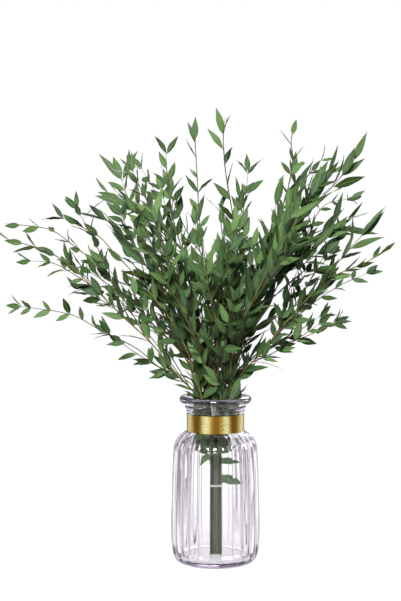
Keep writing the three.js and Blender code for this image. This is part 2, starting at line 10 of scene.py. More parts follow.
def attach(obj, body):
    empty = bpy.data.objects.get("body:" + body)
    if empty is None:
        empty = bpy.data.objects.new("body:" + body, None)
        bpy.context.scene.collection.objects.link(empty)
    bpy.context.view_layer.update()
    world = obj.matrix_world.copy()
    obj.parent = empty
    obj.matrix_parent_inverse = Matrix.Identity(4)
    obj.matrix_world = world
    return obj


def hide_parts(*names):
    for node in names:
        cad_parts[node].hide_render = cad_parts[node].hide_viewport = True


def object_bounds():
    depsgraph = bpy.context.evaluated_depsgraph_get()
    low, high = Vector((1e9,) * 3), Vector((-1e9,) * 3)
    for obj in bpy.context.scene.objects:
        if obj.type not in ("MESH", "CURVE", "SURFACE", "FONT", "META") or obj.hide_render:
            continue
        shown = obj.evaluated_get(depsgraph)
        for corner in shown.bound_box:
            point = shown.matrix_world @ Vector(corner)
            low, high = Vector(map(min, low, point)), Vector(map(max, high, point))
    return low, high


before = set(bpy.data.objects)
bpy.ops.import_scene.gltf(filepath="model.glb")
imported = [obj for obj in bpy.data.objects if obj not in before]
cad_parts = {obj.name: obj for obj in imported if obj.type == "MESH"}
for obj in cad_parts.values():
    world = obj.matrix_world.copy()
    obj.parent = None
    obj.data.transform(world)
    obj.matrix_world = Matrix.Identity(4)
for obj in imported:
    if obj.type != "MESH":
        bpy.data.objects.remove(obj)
CAD_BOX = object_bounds()

MM = 0.001

# Camera, in millimetres: it stands where the photograph was taken from
VIEWPOINT = Vector((-18, -1500, 389))
CAMERA_PITCH_DEG = 2.84
CAMERA_LENS = 74.97
SIGHT = 1500

# Growth of the branches, in millimetres, by the same rule as the solids
STEM_FOOT = 7.3
NECK_Z = 200
LEAN_Z = 150
BUNDLE_PITCH = 1.46
GOLDEN_ANGLE = pi * (3 - sqrt(5))
FLARE = [(STEM_FOOT, 1), (50, 1), (95, 1), (128, 1.4), (163, 2.4), (NECK_Z, 3.9)]
DEPTH_POWER = 1.15
SOLID_STEPS = 6
SMOOTH_STEPS = 12
BEND_TOLERANCE = 1.0
FIRST_LEAF = 190
BARE_TIP = 20
LAID_SHOOT_BARE = 14
LAID_SHOOT_SCALE = 0.95
YOUNG_SHOOT_BARE = 16
SHOOT_BARE_TIP = 2
SHOOTS_PER_STEM = 3
YOUNG_SHOOT_ZONE = (0.04, 0.66)
YOUNG_SHOOT_ANGLE = (26, 40)
YOUNG_SHOOT_LENGTH = (70, 120)
YOUNG_SHOOT_BEND = 0.35
YOUNG_SHOOT_KNOTS = 3

# Random spans: a value is drawn evenly between the two ends
SEED_START = 1000
SEED_STEP = 77
WARM_UP = 3
FIRST_LEAF_SPAN = (0, 16)
PHASE_SPAN = (0, pi)
TURN_SPAN = (-0.25, 0.25)
SPREAD_SPAN = (-11, 11)
ROLL_SPAN = (-1.1, 1.1)
SIZE_SPAN = (0.8, 1.2)
SLIM_SPAN = (-0.025, 0.025)
ARCH_SPAN = (-0.098, 0.182)
PITCH_SPAN = (0.75, 1.25)
TIP_SPREAD_SPAN = (-0.3, 0.3)
TIP_ARCH = 0.05
TIP_ROLL = pi / 2
FACE_ROLL = 1.25
MOST_DROP = 9

# Leaf habits: the pairs' pitch, their angles to the twig at its foot and at its tip, the share that is
# kept, and how far the pairs turn to lie left and right with their faces to the front. Then come
# stages: share of the way up, leaf length, width as a share of the length.
HABITS = {
    "main": (21, (28, 16), 0.9, 0.25,
             (0, 26, 0.34), (0.22, 42, 0.26), (0.5, 55, 0.21), (0.8, 53, 0.21), (1, 38, 0.25)),
    "taper": (20, (28, 30), 0.93, 0.3,
              (0, 26, 0.34), (0.25, 42, 0.26), (0.6, 50, 0.22), (0.85, 27, 0.33), (1, 17, 0.4)),
    "small": (20.5, (31, 24), 0.9, 0.45, (0, 27, 0.34), (0.3, 38, 0.28), (0.6, 33, 0.31), (1, 23, 0.36)),
    "close": (19, (26, 15), 0.93, 0.5, (0, 27, 0.33), (0.4, 30, 0.31), (1, 22, 0.32)),
    # Its upper leaves are a little slimmer than in the solids
    "crown": (22, (35, 26), 0.92, 0.5, (0, 26, 0.34), (0.4, 30, 0.31), (0.8, 24, 0.33), (1, 31, 0.3)),
    "fine": (21.5, (40, 32), 0.87, 0.5, (0, 25, 0.35), (0.4, 25, 0.37), (1, 21, 0.38)),
    "laid": (21, (44, 36), 0.9, 0.85, (0, 24, 0.36), (0.5, 22, 0.39), (1, 18, 0.42)),
    "long_tip": (20, (40, 22), 1, 0.8, (0, 26, 0.34), (1, 44, 0.28)),
    # Only the fine pieces have the leaves that follow
    "neck": (11, (34, 20), 0.95, 0, (0, 24, 0.42), (1, 30, 0.38)),
    "collar": (8, (100, 70), 0.6, 0, (0, 15, 0.55), (1, 19, 0.5)),
    "rim": (19, (66, 36), 0.48, 0.3, (0, 28, 0.38), (1, 34, 0.32)),
    "sprig": (27, (26, 18), 0.6, 0.3, (0, 19, 0.34), (1, 24, 0.34)),
    "high": (21, (32, 18), 0.85, 0.3, (0, 30, 0.28), (0.6, 44, 0.22), (1, 36, 0.25)),
}
# More leaves on each stem: from, to, habit
LOW_ZONES = [(122, 190, "neck"), (136, 154, "collar"), (194, 228, "rim")]
# Slender shoots that rise close beside each stem from the neck
SPRIG_ZONE = (0, 0.12)
SPRIG_ANGLE = (6, 15)
SPRIG_LENGTH = (100, 190)
SPRIG_BARE = 40
SPRIGS_PER_STEM = 2
# More shoots high on some branches, with long slender leaves
HIGH_SHOOTS = {
    "right_mid": 1, "right_high": 1, "back_right": 1, "right_back": 2, "right_inner": 1, "far_right": 1,
}
HIGH_SHOOT_ZONE = (0.45, 0.85)
HIGH_SHOOT_LENGTH = (60, 105)
# Share of the young shoots that are kept, apart from the one that the solid has too
SHOOT_KEEP = 0.85
# The solid has one main leaf in three
SOLID_LEAF_STEP = 3
# A pair of leaves beside the one at each tip
TIP_PAIR_BACK = 3
TIP_PAIR_TURN = (-0.75, 0.75)
TIP_PAIR_SPREAD = (16, 42)
TIP_PAIR_SCALE = (1.0, 1.3)
TIP_PAIR_SLIM = 0.76

# name, habit, share of the leaves beyond the solid's that is left out, depth of the tip,
# knots (x, z) on the front elevation, then shoots: share of the way up, depth, knots, habit
BRANCHES = [
    ("far_left", "small", 0.1, -40,
     [(-48, 227), (-77, 263), (-112, 296), (-148, 332), (-175, 357), (-205, 375), (-250, 388)],
     (0.10, -70, [(-70, 236), (-95, 257), (-140, 280), (-175, 298), (-236, 308)], "laid"),
     (0.60, -20, [(-176, 350), (-197, 360), (-224, 362)], "laid")),
    ("left_back", "fine", 0.1, 70,
     [(-36, 245), (-79, 290), (-117, 330), (-145, 360), (-172, 382), (-200, 400), (-252, 407)]),
    ("left_front", "small", 0.2, -120,
     [(-30, 243), (-48, 282), (-74, 318), (-100, 349), (-125, 376), (-142, 393), (-184, 414)]),
    ("left_high", "main", 0.1, 110,
     [(-25, 261), (-41, 326), (-51, 373), (-65, 399), (-82, 418), (-116, 437), (-128, 441)],
     (0.8, 120, [(-98, 428), (-108, 445), (-112, 460)], "long_tip")),
    ("far_right", "close", 0, -30,
     [(30, 225), (57, 253), (92, 297), (131, 337), (155, 350), (180, 360), (214, 383)],
     (0.34, -60, [(118, 312), (150, 333), (183, 348)], "laid"),
     (0.28, 30, [(101, 318), (117, 344), (139, 372)], "laid")),
    ("right_back", "main", 0, 80,
     [(24, 240), (59, 303), (89, 357), (119, 387), (152, 403)],
     (0.51, 100, [(112, 400), (131, 429), (164, 437)], "laid")),
    ("right_high", "main", 0, -70,
     [(20, 245), (41, 291), (58, 335), (79, 378), (101, 417), (123, 453), (135, 467)]),
    ("front_right", "main", 0, -150, [(20, 250), (38, 300), (60, 345), (78, 385), (88, 415)]),
    ("front", "small", 0.22, -170, [(2, 245), (0, 290), (-8, 330), (-14, 372), (-16, 405)]),
    ("front_left", "small", 0, -150, [(-14, 240), (-34, 290), (-58, 335), (-80, 372), (-98, 402)]),
    ("back", "small", 0.35, 160, [(4, 245), (8, 300), (16, 350), (24, 400), (28, 440)]),
    ("back_left", "main", 0.3, 150, [(-14, 245), (-36, 310), (-58, 360), (-78, 400), (-92, 430)]),
    ("back_right", "main", 0, 140, [(14, 245), (40, 310), (64, 365), (84, 415), (96, 452)]),
    ("mid_left", "small", 0.3, -40,
     [(-12, 250), (-19, 279), (-37, 363), (-52, 417), (-55, 447), (-59, 477), (-58, 492)]),
    ("left_tall", "small", 0.25, 30,
     [(-16, 250), (-31, 291), (-55, 361), (-73, 414), (-87, 445), (-105, 469)],
     (0.55, 40, [(-66, 420), (-74, 448), (-90, 474)], "laid")),
    ("right_tall", "fine", 0.25, 50,
     [(10, 250), (23, 300), (47, 350), (68, 400), (83, 435), (92, 481), (90, 506), (97, 530)]),
    ("right_mid", "taper", 0, -40,
     [(16, 240), (32, 290), (52, 340), (71, 385), (89, 417), (107, 459), (128, 484)]),
    ("crown_right", "crown", 0.45, -60,
     [(4, 240), (11, 279), (21, 351), (22, 393), (20, 420), (12, 468), (9, 514), (12, 534)]),
    ("left_low_back", "small", 0.3, 120, [(-24, 234), (-60, 272), (-98, 305), (-130, 335), (-162, 356)]),
    ("left_inner", "main", 0.25, -70, [(-14, 245), (-40, 300), (-75, 345), (-105, 385), (-132, 412)]),
    ("right_low_back", "main", 0, 110, [(26, 230), (64, 262), (98, 300), (132, 338)]),
    ("right_inner", "main", 0.12, 10, [(14, 250), (40, 300), (72, 345), (108, 380), (142, 407)]),
    ("centre", "small", 0.3, -20, [(0, 250), (2, 300), (6, 350), (8, 390), (4, 425)]),
    ("crown_left", "crown", 0.45, 60,
     [(-4, 240), (-10, 279), (-15, 363), (-20, 423), (-22, 463), (-24, 496), (-25, 524)]),
]

# Leaves inside the glass: branch, height on the stem, length, then heading, spread and roll in degrees
LOW_LEAVES = [
    ("front_right", 116, 26, -14, 86, 55),
    ("right_inner", 95, 31, -24, 100, 75),
    ("far_left", 124, 20, 190, 135, -70),
    ("left_front", 126, 25, 215, 60, -60),
    ("front_right", 126, 25, 320, 52, 60),
    ("left_back", 134, 24, 165, 55, -50),
    ("right_low_back", 132, 24, 20, 50, 60),
]
LOW_LEAF_SLIM = 0.42


# Growth rule
def draws(seed):
    state = seed
    while True:
        state = (state * 1664525 + 1013904223) % 4294967296
        yield state / 4294967296


def span(draw, ends):
    return ends[0] + (ends[1] - ends[0]) * next(draw)


def mix(ends, share):
    return ends[0] + (ends[1] - ends[0]) * share


def seen(knot, depth):
    """The point at this depth that the camera sees over the knot on the front elevation."""
    aim = Vector((knot[0], 0, knot[1])) - VIEWPOINT
    return VIEWPOINT + aim * (1 + depth / SIGHT)


def smooth(knots, steps):
    ends = [knots[0] * 2 - knots[1], *knots, knots[-1] * 2 - knots[-2]]
    points = []
    for a, b, c, d in zip(ends, ends[1:], ends[2:], ends[3:]):
        for i in range(steps):
            t = i / steps
            curve = b * 2 + (c - a) * t + (a * 2 - b * 5 + c * 4 - d) * t * t
            points.append((curve + (b * 3 - a - c * 3 + d) * t ** 3) * 0.5)
    points.append(knots[-1])
    return points


def off_line(point, start, end):
    """How far a point lies from the straight line between two others."""
    along = end - start
    share = min(max((point - start).dot(along) / along.length_squared, 0), 1)
    return (point - start - along * share).length


def thinned(points):
    """Drops each point within the tolerance of the straight line past it, as the solids' stems do."""
    kept = [points[0]]
    since = 0
    for to in range(2, len(points)):
        if max(off_line(p, points[since], points[to]) for p in points[since + 1:to]) > BEND_TOLERANCE:
            kept.append(points[to - 1])
            since = to - 1
    kept.append(points[-1])
    return kept


class Path:
    def __init__(self, points):
        self.points = points
        self.reach = [0.0]
        for a, b in zip(points, points[1:]):
            self.reach.append(self.reach[-1] + (b - a).length)
        self.length = self.reach[-1]

    def at(self, distance):
        s = min(max(distance, 0), self.length)
        i = 1
        while i < len(self.points) - 1 and self.reach[i] < s:
            i += 1
        a, b = self.points[i - 1], self.points[i]
        t = (s - self.reach[i - 1]) / (self.reach[i] - self.reach[i - 1])
        return a.lerp(b, t), (b - a).normalized()


class Stem:
    """A fine path to draw, measured along the solid's plainer one so that both grow alike."""

    def __init__(self, knots, plain_knots=None):
        self.plain = Path(thinned(smooth(plain_knots or knots, SOLID_STEPS)))
        self.fine = Path(smooth(knots, SMOOTH_STEPS))
        self.length = self.plain.length

    def at(self, distance):
        return self.fine.at(distance * self.fine.length / self.length)


def bundle_places():
    """Places packed like a sunflower's seeds, each branch on the side that it leans to."""
    free = []
    for i in range(len(BRANCHES)):
        radius = BUNDLE_PITCH * sqrt(i + 0.5)
        free.append(Vector((radius * cos(i * GOLDEN_ANGLE), radius * sin(i * GOLDEN_ANGLE))))
    leans = []
    for name, _, _, depth, knots, *_ in BRANCHES:
        tip = seen(knots[-1], depth)
        leans.append((name, Vector((tip.x, tip.y)) / (tip.z - LEAN_Z)))
    leans.sort(key=lambda item: -item[1].length)
    places = {}
    for name, lean in leans:
        best = max(free, key=lambda place: place.dot(lean))
        places[name] = best
        free.remove(best)
    return places


def stem_path(depth, knots, place):
    points = [Vector((place.x * spread, place.y * spread, z)) for z, spread in FLARE]
    near = place.y * FLARE[-1][1]
    run = [hypot(x, z - NECK_Z) for x, z in knots]
    for knot, reach in zip(knots, run):
        share = (reach / run[-1]) ** DEPTH_POWER
        points.append(seen(knot, near + (depth - near) * share))
    return Stem(points)


def laid_shoot(stem, s, depth, knots):
    """A shoot from the stem along its own knots, once from the fine path and once from the plain one."""
    paths = []
    for start, _ in (stem.at(s), stem.plain.at(s)):
        deeper = depth - start.y
        laid = [seen(knot, start.y + deeper * i / len(knots)) for i, knot in enumerate(knots, 1)]
        paths.append([start, *laid])
    return Stem(*paths)


def heading(along, angle):
    """A direction square to the stem, turned about it."""
    side = Vector((0, 1, 0)).cross(along).normalized()
    return side * cos(angle) + along.cross(side) * sin(angle)


def stage_of(stages, share):
    """Leaf length and slimness at a share of the way up, between the two stages next to it."""
    for (s0, length0, slim0), (s1, length1, slim1) in zip(stages, stages[1:]):
        if share <= s1:
            t = (share - s0) / (s1 - s0)
            return length0 + (length1 - length0) * t, slim0 + (slim1 - slim0) * t
    return stages[-1][1:]


def new_leaf(path, s, turn, spread, roll, length, slim, arch=TIP_ARCH):
    return {
        "path": path, "s": s, "turn": turn, "spread": spread, "roll": roll,
        "length": length, "width": length * slim, "arch": arch,
    }


def leafy(path, first, last, habit, draw, scale=1):
    """Opposite pairs, each pair a quarter turn on from the one below, and one leaf at the tip."""
    pitch, spreads, keep, flat, *stages = HABITS[habit]
    leaves = []
    s = first
    phase = span(draw, PHASE_SPAN)
    while s < last:
        share = (s - first) / (last - first)
        mean = mix(spreads, share)
        stage_length, stage_slim = stage_of(stages, share)
        for side in (0, pi):
            free = phase + side + span(draw, TURN_SPAN)
            turn = free - flat * sin(2 * free) / 2
            spread = radians(mean + span(draw, SPREAD_SPAN))
            roll = flat * FACE_ROLL * cos(turn) + span(draw, ROLL_SPAN) * (1 - flat / 2)
            length = stage_length * scale * span(draw, SIZE_SPAN)
            slim = stage_slim + span(draw, SLIM_SPAN)
            arch = min(span(draw, ARCH_SPAN), MOST_DROP / length)
            if next(draw) < keep:
                leaves.append(new_leaf(path, s, turn, spread, roll, length, slim, arch))
        phase += pi / 2 + span(draw, TURN_SPAN)
        s += pitch * span(draw, PITCH_SPAN)
    _, length, slim = stages[-1]
    leaves.append(new_leaf(path, last, 0, span(draw, TIP_SPREAD_SPAN), TIP_ROLL, length * scale, slim))
    return leaves


def young_shoot(stem, s, draw, angles, lengths):
    """A shoot that leaves the stem at a low angle and bends up along it."""
    turn = span(draw, (0, tau))
    angle = radians(span(draw, angles))
    length = span(draw, lengths)
    paths = []
    for point, along in (stem.at(s), stem.plain.at(s)):
        start = along * cos(angle) + heading(along, turn) * sin(angle)
        points = [point]
        for i in range(1, YOUNG_SHOOT_KNOTS + 1):
            share = i / YOUNG_SHOOT_KNOTS
            bend = YOUNG_SHOOT_BEND * share
            way = (start * (1 - bend) + along * bend).normalized()
            points.append(point + way * (length * share))
        paths.append(points)
    return Stem(*paths)


def low_leaves(name, stem):
    return [new_leaf(stem, s, *map(radians, angles), length, LOW_LEAF_SLIM)
            for branch, s, length, *angles in LOW_LEAVES if branch == name]


def tip_pair(path, habit, draw):
    """Two more leaves beside the one at the tip, to its left and right."""
    _, tip_length, slim = HABITS[habit][-1]
    s = path.length - TIP_PAIR_BACK
    leaves = []
    for side in (0, pi):
        length = tip_length * span(draw, TIP_PAIR_SCALE)
        turn = side + span(draw, TIP_PAIR_TURN)
        spread = radians(span(draw, TIP_PAIR_SPREAD))
        roll = span(draw, ROLL_SPAN)
        leaves.append(new_leaf(path, s, turn, spread, roll, length, slim * TIP_PAIR_SLIM))
    return leaves


def leafy_shoot(path, bare, habit, draw, scale=1):
    """A side shoot with its leaves, from above its bare foot to just under its tip."""
    leaves = leafy(path, bare, path.length - SHOOT_BARE_TIP, habit, draw, scale)
    return {"path": path, "leaves": leaves, "habit": habit}


def grow(branch, place, seed):
    """The twigs of a branch, each a path with its own leaves: the main stem is the first."""
    name, habit, left_out, depth, knots, *laid_shoots = branch
    draw = draws(seed)
    for _ in range(WARM_UP):
        next(draw)
    stem = stem_path(depth, knots, place)
    first = FIRST_LEAF + span(draw, FIRST_LEAF_SPAN)
    leafy_length = stem.length - first
    leaves = leafy(stem, first, stem.length - BARE_TIP, habit, draw)
    solid_leaves = leaves[::SOLID_LEAF_STEP] + leaves[-1:]
    main = {"path": stem, "leaves": [], "habit": habit}
    twigs = [main]
    for share, tip_depth, tip_knots, shoot_habit in laid_shoots:
        path = laid_shoot(stem, first + leafy_length * share, tip_depth, tip_knots)
        twigs.append(leafy_shoot(path, LAID_SHOOT_BARE, shoot_habit, draw, LAID_SHOOT_SCALE))

    def sprout(share, angles, lengths, bare, shoot_habit):
        path = young_shoot(stem, first + leafy_length * share, draw, angles, lengths)
        twigs.append(leafy_shoot(path, bare, shoot_habit, draw))

    solid = len(twigs) + 1
    for k in range(SHOOTS_PER_STEM):
        share = mix(YOUNG_SHOOT_ZONE, (k + next(draw)) / SHOOTS_PER_STEM)
        sprout(share, YOUNG_SHOOT_ANGLE, YOUNG_SHOOT_LENGTH, YOUNG_SHOOT_BARE, "fine")
    twigs[solid:] = [twig for twig in twigs[solid:] if next(draw) < SHOOT_KEEP]
    leaves = [leaf for leaf in leaves if next(draw) > left_out or leaf in solid_leaves]
    main["leaves"] = low_leaves(name, stem) + leaves
    for low, high, low_habit in LOW_ZONES:
        main["leaves"] += leafy(stem, low, high, low_habit, draw)[:-1]
    for twig in twigs:
        twig["leaves"] += tip_pair(twig["path"], twig["habit"], draw)
    for _ in range(SPRIGS_PER_STEM):
        sprout(span(draw, SPRIG_ZONE), SPRIG_ANGLE, SPRIG_LENGTH, SPRIG_BARE, "sprig")
    for _ in range(HIGH_SHOOTS.get(name, 0)):
        share = span(draw, HIGH_SHOOT_ZONE)
        sprout(share, YOUNG_SHOOT_ANGLE, HIGH_SHOOT_LENGTH, YOUNG_SHOOT_BARE, "high")
    return twigs


# Vase, in millimetres
VASE_OUTSIDE = [
    (0, 0), (40, 0), (44.5, 0.4), (47.6, 1.8), (49.8, 4.2), (51.2, 7.5), (52.4, 13), (53.4, 24), (54, 40),
    (53.6, 60), (53, 82), (52.3, 106), (51.6, 124), (50.8, 135), (49.6, 142), (47.4, 147.5), (44.2, 151.8),
    (40.4, 155), (37, 156.8), (35, 157.6), (34.3, 158.6), (34.2, 161), (34.2, 170), (34.2, 178), (34.4, 180),
    (35.2, 181.1), (35.6, 182.2), (35.2, 183.3), (34.9, 184), (36, 184.8), (36.6, 186.5), (36.2, 188.2),
    (35.2, 189.2), (35.4, 190), (36.8, 190.5), (39.6, 190.9), (41.9, 192.2), (43.1, 194.4), (43.2, 196.4),
    (42.6, 198.3), (41, 199.6), (39, 200), (37.2, 199.5), (35.9, 198.2),
]
VASE_INSIDE = [
    (34.8, 195.5), (33, 190.5), (31.8, 186), (31.3, 180), (31.3, 170), (31.3, 160), (31.7, 156.5),
    (33.4, 153.4), (36.6, 150.4), (40.6, 146.8), (44, 142.4), (46, 137), (47, 128), (48, 110), (48.8, 84),
    (49.2, 60), (49.2, 40), (48.6, 24), (47, 14), (44, 9.4), (40, 7.4), (34, 7), (0, 7),
]
PROFILE_STEP = 2.1
INNER_PROFILE_STEP = 3.15
FINE_PROFILE_STEP = 0.7
FINE_PROFILE_FROM = 176
PROFILE_SMOOTH_STEPS = 8
FLUTES = 24
FLUTE_PHASES = [0, 0.025, 0.06, 0.11, 0.18, 0.28, 0.39, 0.5, 0.61, 0.72, 0.82, 0.89, 0.94, 0.975]
FLUTE_DEPTH = 1.4
FLUTE_FLATNESS = 2.7
FLUTE_FOOT = (3.5, 14)
FLUTE_TOP = (157.6, 150.6)
INNER_FOLLOW = 0.85
ARCH_TOP = 154.6
ARCH_RISE = 5.5
ARCH_EDGE = 1.6
# Painted shade in the glass, for the light that it bends away: along the grooves, in lines at the rings and
# round the lip
GROOVE_PAINTED_SHADE = 0.5
GROOVE_SPREAD = 0.045
GROOVE_FOOT = (3.5, 28)
GROOVE_TOP = (156.6, 148.6)
SHOULDER_CLEAR = 0.6
SHOULDER_ZONE = (132, 150)
RING_LINES = [(179.8, 0.95), (184.1, 0.95), (189.9, 0.95)]
RING_SPREAD = 0.9
LIP_PAINTED_SHADE_ZONE = (192.5, 195)

# Leaves stay inside the solids' box and clear of the glass
GLASS_CLEARANCE = 2
LIP_REACH = 46
VASE_TOP = 201
BOX_SPARE = 1.5
BOX_LOW = [value / MM - BOX_SPARE for value in CAD_BOX[0]]
BOX_HIGH = [value / MM + BOX_SPARE for value in CAD_BOX[1]]
INNER_HEIGHTS, INNER_RADII = zip(*sorted((z, r) for r, z in VASE_INSIDE))


def smoothstep(low, high, value):
    t = min(max((value - low) / (high - low), 0), 1)
    return t * t * (3 - 2 * t)


def profile_points(knots, step, fine_step):
    """The profile as a smooth curve, with points about a step apart, or closer about the rings and lip."""
    curve = smooth([Vector((r, z)) for r, z in knots], PROFILE_SMOOTH_STEPS)
    kept = [curve[0]]
    for point in curve[1:-1]:
        if (point - kept[-1]).length >= (step if point.y < FINE_PROFILE_FROM else fine_step):
            kept.append(point)
    if (kept[-1] - curve[-1]).length < fine_step:
        kept.pop()
    kept.append(curve[-1])
    return [(max(point.x, 0), max(point.y, 0)) for point in kept]


def flute_relief(z, phase):
    """How far the wall stands in from the crests of the flutes: phase runs from 0 to 1 over a flute."""
    across = abs(2 * phase - 1)
    crest = (1 - across ** FLUTE_FLATNESS) ** (1 / FLUTE_FLATNESS * 2)
    top = ARCH_TOP - ARCH_RISE * (1 - sqrt(1 - across * across))
    foot = smoothstep(*FLUTE_FOOT, z)
    ridge = crest * smoothstep(top, top - ARCH_EDGE, z) * foot
    fluted = foot * smoothstep(*FLUTE_TOP, z)
    return FLUTE_DEPTH * max(fluted - ridge, 0)


def painted_shade_at(z, phase):
    """The painted shade of the glass, standing in for light that it bends away: most along the grooves,
    under the rings and round the lip.
    """
    off = min(phase, 1 - phase)
    fluted = smoothstep(*GROOVE_FOOT, z) * smoothstep(*GROOVE_TOP, z)
    fluted *= 1 - SHOULDER_CLEAR * smoothstep(*SHOULDER_ZONE, z)
    groove = GROOVE_PAINTED_SHADE * exp(-(off / GROOVE_SPREAD) ** 2) * fluted
    lines = sum(part * exp(-((z - level) / RING_SPREAD) ** 2) for level, part in RING_LINES)
    return min(max(groove, lines) + smoothstep(*LIP_PAINTED_SHADE_ZONE, z), 1)


def round_point(radius, angle, z):
    return (radius * cos(angle), radius * sin(angle), z)


def grid_faces(rows, cols, start=0, flip=False, loop_rows=False, loop_cols=False):
    """Quads over a grid of vertices, and across its ends where it closes on itself."""
    faces = []
    for i in range(rows if loop_rows else rows - 1):
        low = start + i * cols
        high = start + (i + 1) % rows * cols
        for j in range(cols if loop_cols else cols - 1):
            after = (j + 1) % cols
            a, b, c, d = low + j, low + after, high + after, high + j
            faces.append((a, d, c, b) if flip else (a, b, c, d))
    return faces


def add_object(name, data):
    obj = bpy.data.objects.new(name, data)
    bpy.context.scene.collection.objects.link(obj)
    return obj


def mesh_object(name, vertices, faces, materials, scale=MM):
    mesh = bpy.data.meshes.new(name)
    mesh.from_pydata([Vector(v) * scale for v in vertices], [], faces)
    for material in materials:
        mesh.materials.append(material)
    mesh.polygons.foreach_set("use_smooth", [True] * len(mesh.polygons))
    mesh.update()
    return add_object(name, mesh)


def paint(obj, name, colours):
    """Gives each vertex four numbers for the materials to read."""
    attribute = obj.data.color_attributes.new(name, "FLOAT_COLOR", "POINT")
    attribute.data.foreach_set("color", np.array(colours, dtype=float).ravel())


def build_vase(material):
    outside = profile_points(VASE_OUTSIDE, PROFILE_STEP, FINE_PROFILE_STEP)
    inside = profile_points(VASE_INSIDE, INNER_PROFILE_STEP, PROFILE_STEP)
    rings = outside[1:] + inside[:-1]
    vertices, painted_shades = [], []
    for flute in range(FLUTES):
        for phase in FLUTE_PHASES:
            angle = tau * (flute + phase + 0.5) / FLUTES
            for j, (radius, z) in enumerate(rings):
                relief = flute_relief(z, phase)
                # Painted shade for each vertex of the outside wall; the inside wall gets none
                tint = painted_shade_at(z, phase)
                if j >= len(outside) - 1:
                    relief *= INNER_FOLLOW * smoothstep(*FLUTE_FOOT, z - VASE_INSIDE[-1][1])
                    tint = 0
                vertices.append(round_point(radius - relief, angle, z))
                painted_shades.append([tint] * 4)
    turns, count = FLUTES * len(FLUTE_PHASES), len(rings)
    faces = grid_faces(turns, count, flip=True, loop_rows=True)
    base = len(vertices)
    for i in range(turns):
        a = i * count
        b = (i + 1) % turns * count
        faces.append((base, b, a))
        faces.append((base + 1, a + count - 1, b + count - 1))
    for end in (outside[0], inside[-1]):
        vertices.append((0, 0, end[1]))
        painted_shades.append([0] * 4)
    vase = mesh_object("glass_vase", vertices, faces, [material])
    paint(vase, "tint", painted_shades)
    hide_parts("vase")
    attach(vase, "root")


def in_reach(points):
    """True if every point is inside the solids' box, and none lies in the vase's wall or beside it."""
    x, y, z = points.T
    radius = np.hypot(x, y)
    wall = np.interp(z, INNER_HEIGHTS, INNER_RADII) - GLASS_CLEARANCE
    in_wall = (z < VASE_TOP) & (wall < radius) & (radius < LIP_REACH)
    return (points >= BOX_LOW).all() and (points <= BOX_HIGH).all() and not in_wall.any()


# Leaf blades
STATIONS = [0, 0.035, 0.075, 0.12, 0.19, 0.28, 0.38, 0.48, 0.58, 0.68, 0.78, 0.87, 0.94, 0.98, 1]
COLUMNS = [-1, -0.62, -0.14, 0, 0.14, 0.62, 1]
STALK_SHARE = 0.07
STALK_HALF = 0.42
STALK_THICK = 0.45
BLADE_THICK = 0.24
BLADE_SHARE = 0.9
BLADE_POWER = 1.12
BLADE_WIDEST = 0.73
NARROW_SLIM = 0.2
BROAD_BLUNTNESS = 0.9
TWIST_POWER = 1.4
RIB_HEIGHT = 0.42
RIB_GROOVE = 0.12
RIB_TAPER = 0.6
TRAIT_SPANS = {
    "twist": (-0.75, 0.75), "fold": (0, 0.24), "hook": (-0.06, 0.12), "wave": (0.1, 0.5),
    "waves": (1.5, 3.5), "wave_start": (0, 1), "lopsided": (-0.1, 0.1), "hue": (0, 1), "shade": (0, 1),
}


def leaf_traits(draw):
    """What makes each leaf its own: twist, fold, waves, lopsidedness and colour."""
    return {name: span(draw, ends) for name, ends in TRAIT_SPANS.items()}


def half_width(share, slim, half):
    """Half the blade's width: a stalk, then a lance shape, blunter in the broad leaves."""
    if share <= STALK_SHARE:
        return STALK_HALF
    t = (share - STALK_SHARE) / (1 - STALK_SHARE)
    power = BLADE_POWER - BROAD_BLUNTNESS * (slim - NARROW_SLIM)
    shape = max(sin(pi * min(t, 1) ** BLADE_WIDEST), 0) ** power
    return max(half * shape, STALK_HALF * (1 - t) ** 3)


def leaf_grid(leaf, turn, stations, columns):
    """Points of the blade's middle surface and its normals, as arrays of stations by columns."""
    point, along = leaf["path"].at(leaf["s"])
    out = heading(along, leaf["turn"] + turn)
    spread = leaf["spread"]
    direction = along * cos(spread) + out * sin(spread)
    face = Matrix.Rotation(leaf["roll"], 3, direction) @ (along * sin(spread) - out * cos(spread))
    across = direction.cross(face)
    length = leaf["length"]
    slim = leaf["width"] / length
    points = np.zeros((len(stations), len(columns), 3))
    normals = np.zeros_like(points)
    for i, share in enumerate(stations):
        twist = leaf["twist"] * share ** TWIST_POWER
        side = across * cos(twist) + face * sin(twist)
        up = face * cos(twist) - across * sin(twist)
        drop = leaf["arch"] * share ** 2 + leaf["hook"] * share ** 4
        rib = point + direction * (length * share) - face * (length * drop)
        half = half_width(share, slim, leaf["width"] * BLADE_SHARE / 2)
        wave = leaf["wave"] * sin(tau * (leaf["waves"] * share + leaf["wave_start"]))
        swing = 4 * share * (1 - share)
        for j, column in enumerate(columns):
            width = half * (1 + leaf["lopsided"] * column)
            rise = width * leaf["fold"] * abs(column) + wave * column * abs(column) * swing
            points[i, j] = rib + side * (width * column) + up * rise
            normals[i, j] = up - side * (leaf["fold"] * copysign(1, column) if column else 0)
    return points, normals


def blade_template():
    """A closed blade's vertices, each as row, column and lift, and its faces: the two sides share a rim."""
    rows, cols = len(STATIONS), len(COLUMNS)
    places = [(i, j) for i in range(rows) for j in range(cols)]
    front = [(i, j, blade_lift(STATIONS[i], COLUMNS[j], 1)) for i, j in places]
    inner = [(i, j, blade_lift(STATIONS[i], COLUMNS[j], -1)) for i, j in places
             if 0 < i < rows - 1 and 0 < j < cols - 1]
    back = np.arange(rows * cols).reshape(rows, cols)
    back[1:-1, 1:-1] = np.arange(len(inner)).reshape(rows - 2, cols - 2) + len(front)
    back_faces = back.ravel()[np.array(grid_faces(rows, cols, flip=True))]
    return front + inner, grid_faces(rows, cols) + back_faces.tolist()


